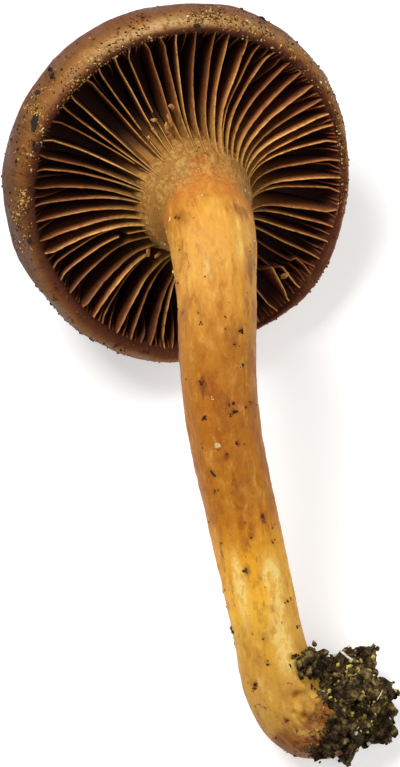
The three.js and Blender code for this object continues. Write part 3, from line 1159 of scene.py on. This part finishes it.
def stem_finish():
    """Orange-yellow stem with short fibres: tan and powdery at the collar, bright below it, browner
    in the middle, with pale and rusty streaks towards the foot; the pale ones are partly painted
    highlights."""
    finish = Finish("stem skin", 0.55, 0.2)
    along = finish.field("along")
    fibre = finish.field("fibre", "Vector")
    streak = finish.noise(finish.scaled(fibre, (1, 1, 0.4)), 1.2, 5, 0.65)
    below = finish.fade(along, 0.09, 0.16)
    mottle = finish.noise(finish.scaled(fibre, (1, 1, 0.7)), 2.6, 4, 0.58)
    broad = finish.noise(finish.scaled(fibre, (1, 1, 0.4)), 4, 3)
    fine = finish.noise(fibre, 0.55, 4, 0.7)
    wobble = finish.sum("MULTIPLY", finish.sum("SUBTRACT", broad, 0.5), 0.12)
    base = finish.ramp(finish.sum("ADD", along, wobble), [
        (0.040, tint(152, 105, 45)),
        (0.080, tint(162, 114, 50)),
        (0.122, tint(196, 120, 42)),
        (0.156, tint(208, 146, 52)),
        (0.200, tint(212, 152, 64)),
        (0.270, tint(204, 140, 46)),
        (0.330, tint(180, 114, 26)),
        (0.410, tint(176, 106, 20)),
        (0.520, tint(180, 112, 21)),
        (0.580, tint(190, 118, 20)),
        (0.640, tint(228, 158, 34)),
        (0.720, tint(244, 182, 52)),
        (0.810, tint(206, 150, 50)),
        (0.890, tint(198, 150, 60)),
        (0.950, tint(176, 120, 50)),
        (1.000, tint(116, 62, 28)),
    ])
    base = finish.stain(finish.fade(broad, 0.5, 0.72), base, 0.3, tint(170, 88, 20))
    base = finish.stain(finish.fade(streak, 0.52, 0.66), base, 0.45, tint(150, 78, 20))
    base = finish.stain(finish.fade(streak, 0.46, 0.30), base, 0.25, tint(244, 204, 110))
    spots = finish.sum("MULTIPLY", below, finish.fade(mottle, 0.50, 0.66))
    base = finish.stain(spots, base, 0.42, tint(138, 68, 20))
    spots = finish.sum("MULTIPLY", below, finish.fade(mottle, 0.46, 0.26))
    base = finish.stain(spots, base, 0.22, tint(246, 204, 112))
    ragged = finish.sum("ADD", finish.sum("MULTIPLY", streak, 2.0), finish.sum("MULTIPLY", mottle, 1.6))
    # Pale patches: partly pale streaks, partly painted highlights
    pale = finish.fade(finish.sum("ADD", finish.field("pale"), ragged), 2.1, 2.95)
    orange = finish.mix(finish.fade(streak, 0.47, 0.6), tint(250, 214, 122), tint(236, 178, 76))
    base = finish.mix(finish.sum("MULTIPLY", pale, 0.9), base, orange)
    rust = finish.fade(finish.sum("ADD", finish.field("rust"), ragged), 2.05, 3.05)
    base = finish.mix(finish.sum("MULTIPLY", rust, 0.8), base, tint(116, 54, 18))
    powder = finish.sum("SUBTRACT", 1.0, finish.fade(along, 0.08, 0.13))
    dusty = finish.sum("MULTIPLY", powder, finish.fade(fine, 0.45, 0.7))
    base = finish.stain(dusty, base, 0.6, tint(204, 164, 92))
    gritty = finish.sum("MULTIPLY", powder, finish.fade(fine, 0.5, 0.36))
    base = finish.stain(gritty, base, 0.35, tint(110, 70, 24))
    base = finish.stain(finish.fade(fine, 0.60, 0.78), base, 0.4, tint(104, 50, 16))
    finish.colour(base)
    finish.shader.inputs["Subsurface Weight"].default_value = 0.06
    finish.shader.inputs["Subsurface Radius"].default_value = (0.002, 0.0009, 0.0003)
    finish.shader.inputs["Subsurface Scale"].default_value = 1.0
    low = finish.relief(streak, 0.16)
    finish.relief(fine, 0.14, low)
    return finish.material


def earth_finish():
    """Dark crumbly earth with lighter mineral dust."""
    finish = Finish("earth", 0.95, 0.15)
    spot = finish.noise(finish.place(), 1.9, 6, 0.7)
    base = finish.ramp(spot, [
        (0.36, tint(12, 7, 4)),
        (0.47, tint(44, 31, 17)),
        (0.56, tint(92, 74, 42)),
        (0.66, tint(158, 138, 84)),
    ])
    finish.colour(base)
    finish.relief(finish.noise(finish.place(), 0.5, 4, 0.7), 0.35)
    return finish.material


def grain_finish(name, stops, roughness=0.5):
    """Grains, each of one colour picked by its tone."""
    finish = Finish(name, roughness, 0.2)
    base = finish.ramp(finish.field("tone"), stops, steps=True)
    shade = finish.noise(finish.place(), 0.25, 2)
    finish.colour(finish.stain(finish.fade(shade, 0.45, 0.8), base, 0.4, tint(60, 40, 20)))
    finish.relief(shade, 0.05)
    return finish.material


def bark_finish():
    """Nearly black bark with fine ridges."""
    finish = Finish("bark", 0.8, 0.3)
    ridge = finish.noise(finish.scaled(finish.place(), (1, 3, 1)), 0.5, 4)
    finish.colour(finish.ramp(ridge, [(0.3, tint(14, 10, 8)), (0.7, tint(50, 36, 28))]))
    finish.relief(ridge, 0.15)
    return finish.material


def thread_finish():
    """Pale, slightly mottled roots."""
    finish = Finish("root thread", 0.7, 0.3)
    spot = finish.noise(finish.place(), 0.6, 3)
    finish.colour(finish.ramp(spot, [(0.35, tint(168, 160, 136)), (0.6, tint(226, 222, 206))]))
    finish.relief(spot, 0.04)
    return finish.material


# Pieces

def build_mushroom():
    """Every piece in turn. One random stream runs through them all, so their order counts."""
    rng = np.random.default_rng(SEED)
    long_angles, short_angles, short_reach = gill_places(rng)
    gills = gill_finish()
    earth = earth_finish()
    sand = grain_finish("sand", [
        (0.00, tint(34, 20, 10)), (0.16, tint(104, 70, 30)), (0.34, tint(150, 112, 50)),
        (0.58, tint(186, 148, 76)), (0.84, tint(200, 168, 96)), (0.98, tint(230, 220, 190)),
    ], 0.35)
    dirt = grain_finish("dirt", [
        (0.00, tint(52, 20, 9)), (0.12, tint(78, 34, 14)), (0.2, tint(112, 58, 24)),
        (0.38, tint(140, 100, 56)), (0.7, tint(214, 190, 132)), (0.88, tint(230, 210, 160)),
    ], 0.6)

    skin_rows, skin_fields = cap_skin_rows()
    make_piece("cap_skin", round_skin(skin_rows, skin_fields, True), skin_finish(), "cap")
    make_piece("gill_bed", round_skin(*gill_bed_rows()), bed_finish(), "cap")
    long_blades = gill_blades(long_angles, np.ones(LONG_GILLS), False, LONG_GILL_ROWS, rng)
    make_piece("long_gills", long_blades, gills, "cap")
    short_blades = gill_blades(short_angles, short_reach, True, SHORT_GILL_ROWS, rng)
    make_piece("short_gills", short_blades, gills, "cap")
    make_piece("gill_shreds", shred_skins(rng), shred_finish(), "cap")

    stem_grid, stem_fields = stem_rows(long_angles)
    stem_skin = round_skin(stem_grid, stem_fields, True, True)
    make_piece("stem_skin", stem_skin, stem_finish(), "stem")

    clod_grid = clod_rows()
    make_piece("earth_clump", round_skin(clod_grid, {}, True, True), earth, "soil_clump")

    rim_points, rim_normals = flat_surface(skin_rows)
    rim_share = skin_fields["rim"].ravel()
    stem_points, stem_normals = flat_surface(stem_grid)
    clod_points, clod_normals = flat_surface(clod_grid)

    def stuck(name, places, normals, sizes, tones, material):
        flat, sunk = GRAINS[name][3:]
        stretch = grain_stretch(len(places), rng, flat)
        skin = grain_skin(places, normals, sizes, stretch, tones, rng, sunk)
        make_piece(name, skin, material, smooth=False)

    def on_lip(clusters):
        found = under_pixels(scattered_pixels(clusters, rng), rim_points, rim_normals)
        return found[rim_share[found] > RIM_WIDEST]

    found = on_lip(thicker(RIM_SAND, RIM_SAND_TIMES))
    sizes = grain_sizes("rim_sand", len(found), rng)
    tones = rng.random(len(found))
    stuck("rim_sand", rim_points[found], rim_normals[found], sizes, tones, sand)

    found = on_lip(RIM_DIRT)
    weight = smooth_step(0.3, 0.55, rim_share) + 0.03
    around, around_normals = strewn(rim_points, rim_normals, LOOSE_RIM_DIRT, rng, weight)
    places = np.vstack([rim_points[found], around])
    normals = np.vstack([rim_normals[found], around_normals])
    sizes = grain_sizes("rim_dirt", len(places), rng)
    stuck("rim_dirt", places, normals, sizes, 0.3 * rng.random(len(places)), dirt)

    make_piece("bark_flakes", flake_skins(rim_points, rim_normals, rng), bark_finish())

    pixels = np.array([bit[0] for bit in STEM_BITS for _ in range(BITS_TOGETHER)])
    pixels = pixels + rng.normal(0, BITS_APART, pixels.shape)
    found = under_pixels(pixels, stem_points, stem_normals)
    share = BIT_SHARE_LEAST + BIT_SHARE_ADDED * rng.random(len(pixels))
    sizes = np.repeat([bit[1] for bit in STEM_BITS], BITS_TOGETHER) * share
    tones = np.repeat([bit[2] for bit in STEM_BITS], BITS_TOGETHER)
    along = stem_fields["along"].ravel()
    weight = smooth_step(0.1, 0.3, along) + 2 * smooth_step(0.75, 0.95, along)
    around, around_normals = strewn(stem_points, stem_normals, LOOSE_STEM_BITS, rng, weight)
    places = np.vstack([stem_points[found], around])
    normals = np.vstack([stem_normals[found], around_normals])
    sizes = np.concatenate([sizes, grain_sizes("stem_bits", LOOSE_STEM_BITS, rng)])
    tones = np.concatenate([tones, 0.36 * rng.random(LOOSE_STEM_BITS)])
    stuck("stem_bits", places, normals, sizes, tones, dirt)

    found = under_pixels(scattered_pixels(FOOT_DIRT, rng), stem_points, stem_normals)
    sizes = grain_sizes("foot_dirt", len(found), rng)
    tones = 0.05 + 0.7 * rng.random(len(found))
    stuck("foot_dirt", stem_points[found], stem_normals[found], sizes, tones, dirt)

    found = under_pixels(GRAIN_SEED, stem_points, stem_normals)
    size = np.array([GRAINS["pale_grain"][0]])
    stuck("pale_grain", stem_points[found], stem_normals[found], size, np.array([0.8]), dirt)

    found = under_pixels(STICK_PIXELS, stem_points, stem_normals)
    stick = tube_skin(stem_points[found], 0.16, 0.1, stem_normals[found])
    make_piece("bark_stick", stick, bark_finish())

    facing = smooth_step(-0.9, 0.2, clod_normals[:, 2]) + 0.02
    places, normals = strewn(clod_points, clod_normals, EARTH_CRUMBS, rng, facing)
    sizes = grain_sizes("earth_crumbs", EARTH_CRUMBS, rng)
    stuck("earth_crumbs", places, normals, sizes, rng.random(EARTH_CRUMBS), earth)
    found = under_pixels(scattered_pixels(FOOT_EARTH, rng), stem_points, stem_normals)
    places = stem_points[found] + stem_normals[found] * 1.1 * rng.random((len(found), 1))
    sizes = grain_sizes("foot_earth", len(found), rng)
    stuck("foot_earth", places, stem_normals[found], sizes, rng.random(len(found)), earth)
    places, normals = strewn(clod_points, clod_normals, EARTH_GRAINS, rng, facing)
    sizes = grain_sizes("earth_grains", EARTH_GRAINS, rng)
    olive = grain_finish("earth grains", [
        (0.00, tint(66, 50, 20)), (0.25, tint(118, 100, 36)), (0.5, tint(166, 146, 56)),
        (0.75, tint(200, 180, 88)), (0.95, tint(232, 226, 200)),
    ], 0.5)
    stuck("earth_grains", places, normals, sizes, rng.random(EARTH_GRAINS), olive)

    threads = []
    for pixels, radius in ROOT_THREADS:
        at = under_pixels(pixels, clod_points, clod_normals)
        threads.append(tube_skin(clod_points[at], radius, 0.9 * radius + 0.15, clod_normals[at]))
    make_piece("root_threads", joined(threads), thread_finish())


# Studio

def build_camera():
    data = bpy.data.cameras.new("camera")
    data.sensor_width = SENSOR_WIDTH
    data.lens = SENSOR_WIDTH * FOCAL_PIXELS / PICTURE_HEIGHT
    data.clip_start = 0.01
    camera = bpy.data.objects.new("camera", data)
    camera.location = (VIEW_TARGET + VIEW_DISTANCE * VIEW_BACK) * MM
    camera.rotation_euler = (0.5 * math.pi - VIEW_ELEVATION, 0, 0)
    bpy.context.scene.collection.objects.link(camera)
    bpy.context.scene.camera = camera


def soft_light(name, place, target, size, power):
    """A square soft box at a place, in metres, turned to a target."""
    data = bpy.data.lights.new(name, "AREA")
    data.size = size
    data.energy = power
    light = bpy.data.objects.new(name, data)
    light.location = place
    way = np.array(target) - np.array(place)
    pitch = math.atan2(math.hypot(way[0], way[1]), -way[2])
    light.rotation_euler = (pitch, 0, math.atan2(way[1], way[0]) - 0.5 * math.pi)
    bpy.context.scene.collection.objects.link(light)


def build_studio():
    floor_mesh = bpy.data.meshes.new("floor")
    half = 2.5
    corners = [(-half, -half, 0), (half, -half, 0), (half, half, 0), (-half, half, 0)]
    floor_mesh.from_pydata(corners, [], [(0, 1, 2, 3)])
    floor_paper = Finish("floor paper", 0.9, 0.1)
    floor_paper.shader.inputs["Base Color"].default_value = (0.62, 0.62, 0.61, 1)
    floor_paper.shader.inputs["Emission Color"].default_value = (1, 1, 1, 1)
    floor_paper.shader.inputs["Emission Strength"].default_value = 0.5
    floor_mesh.materials.append(floor_paper.material)
    floor = bpy.data.objects.new("floor", floor_mesh)
    bpy.context.scene.collection.objects.link(floor)
    middle = (0.0, 0.01, 0.02)
    soft_light("key", (-0.25, 0.27, 0.60), middle, 0.30, 5.2)
    soft_light("fill", (0.50, -0.25, 0.80), middle, 0.8, 4.2)
    world = bpy.data.worlds.new("studio")
    world.use_nodes = True
    world.node_tree.nodes["Background"].inputs["Color"].default_value = (1.0, 0.98, 0.95, 1)
    world.node_tree.nodes["Background"].inputs["Strength"].default_value = 0.16
    bpy.context.scene.world = world
    bpy.context.scene.view_settings.view_transform = "Standard"


build_camera()
build_mushroom()
build_studio()
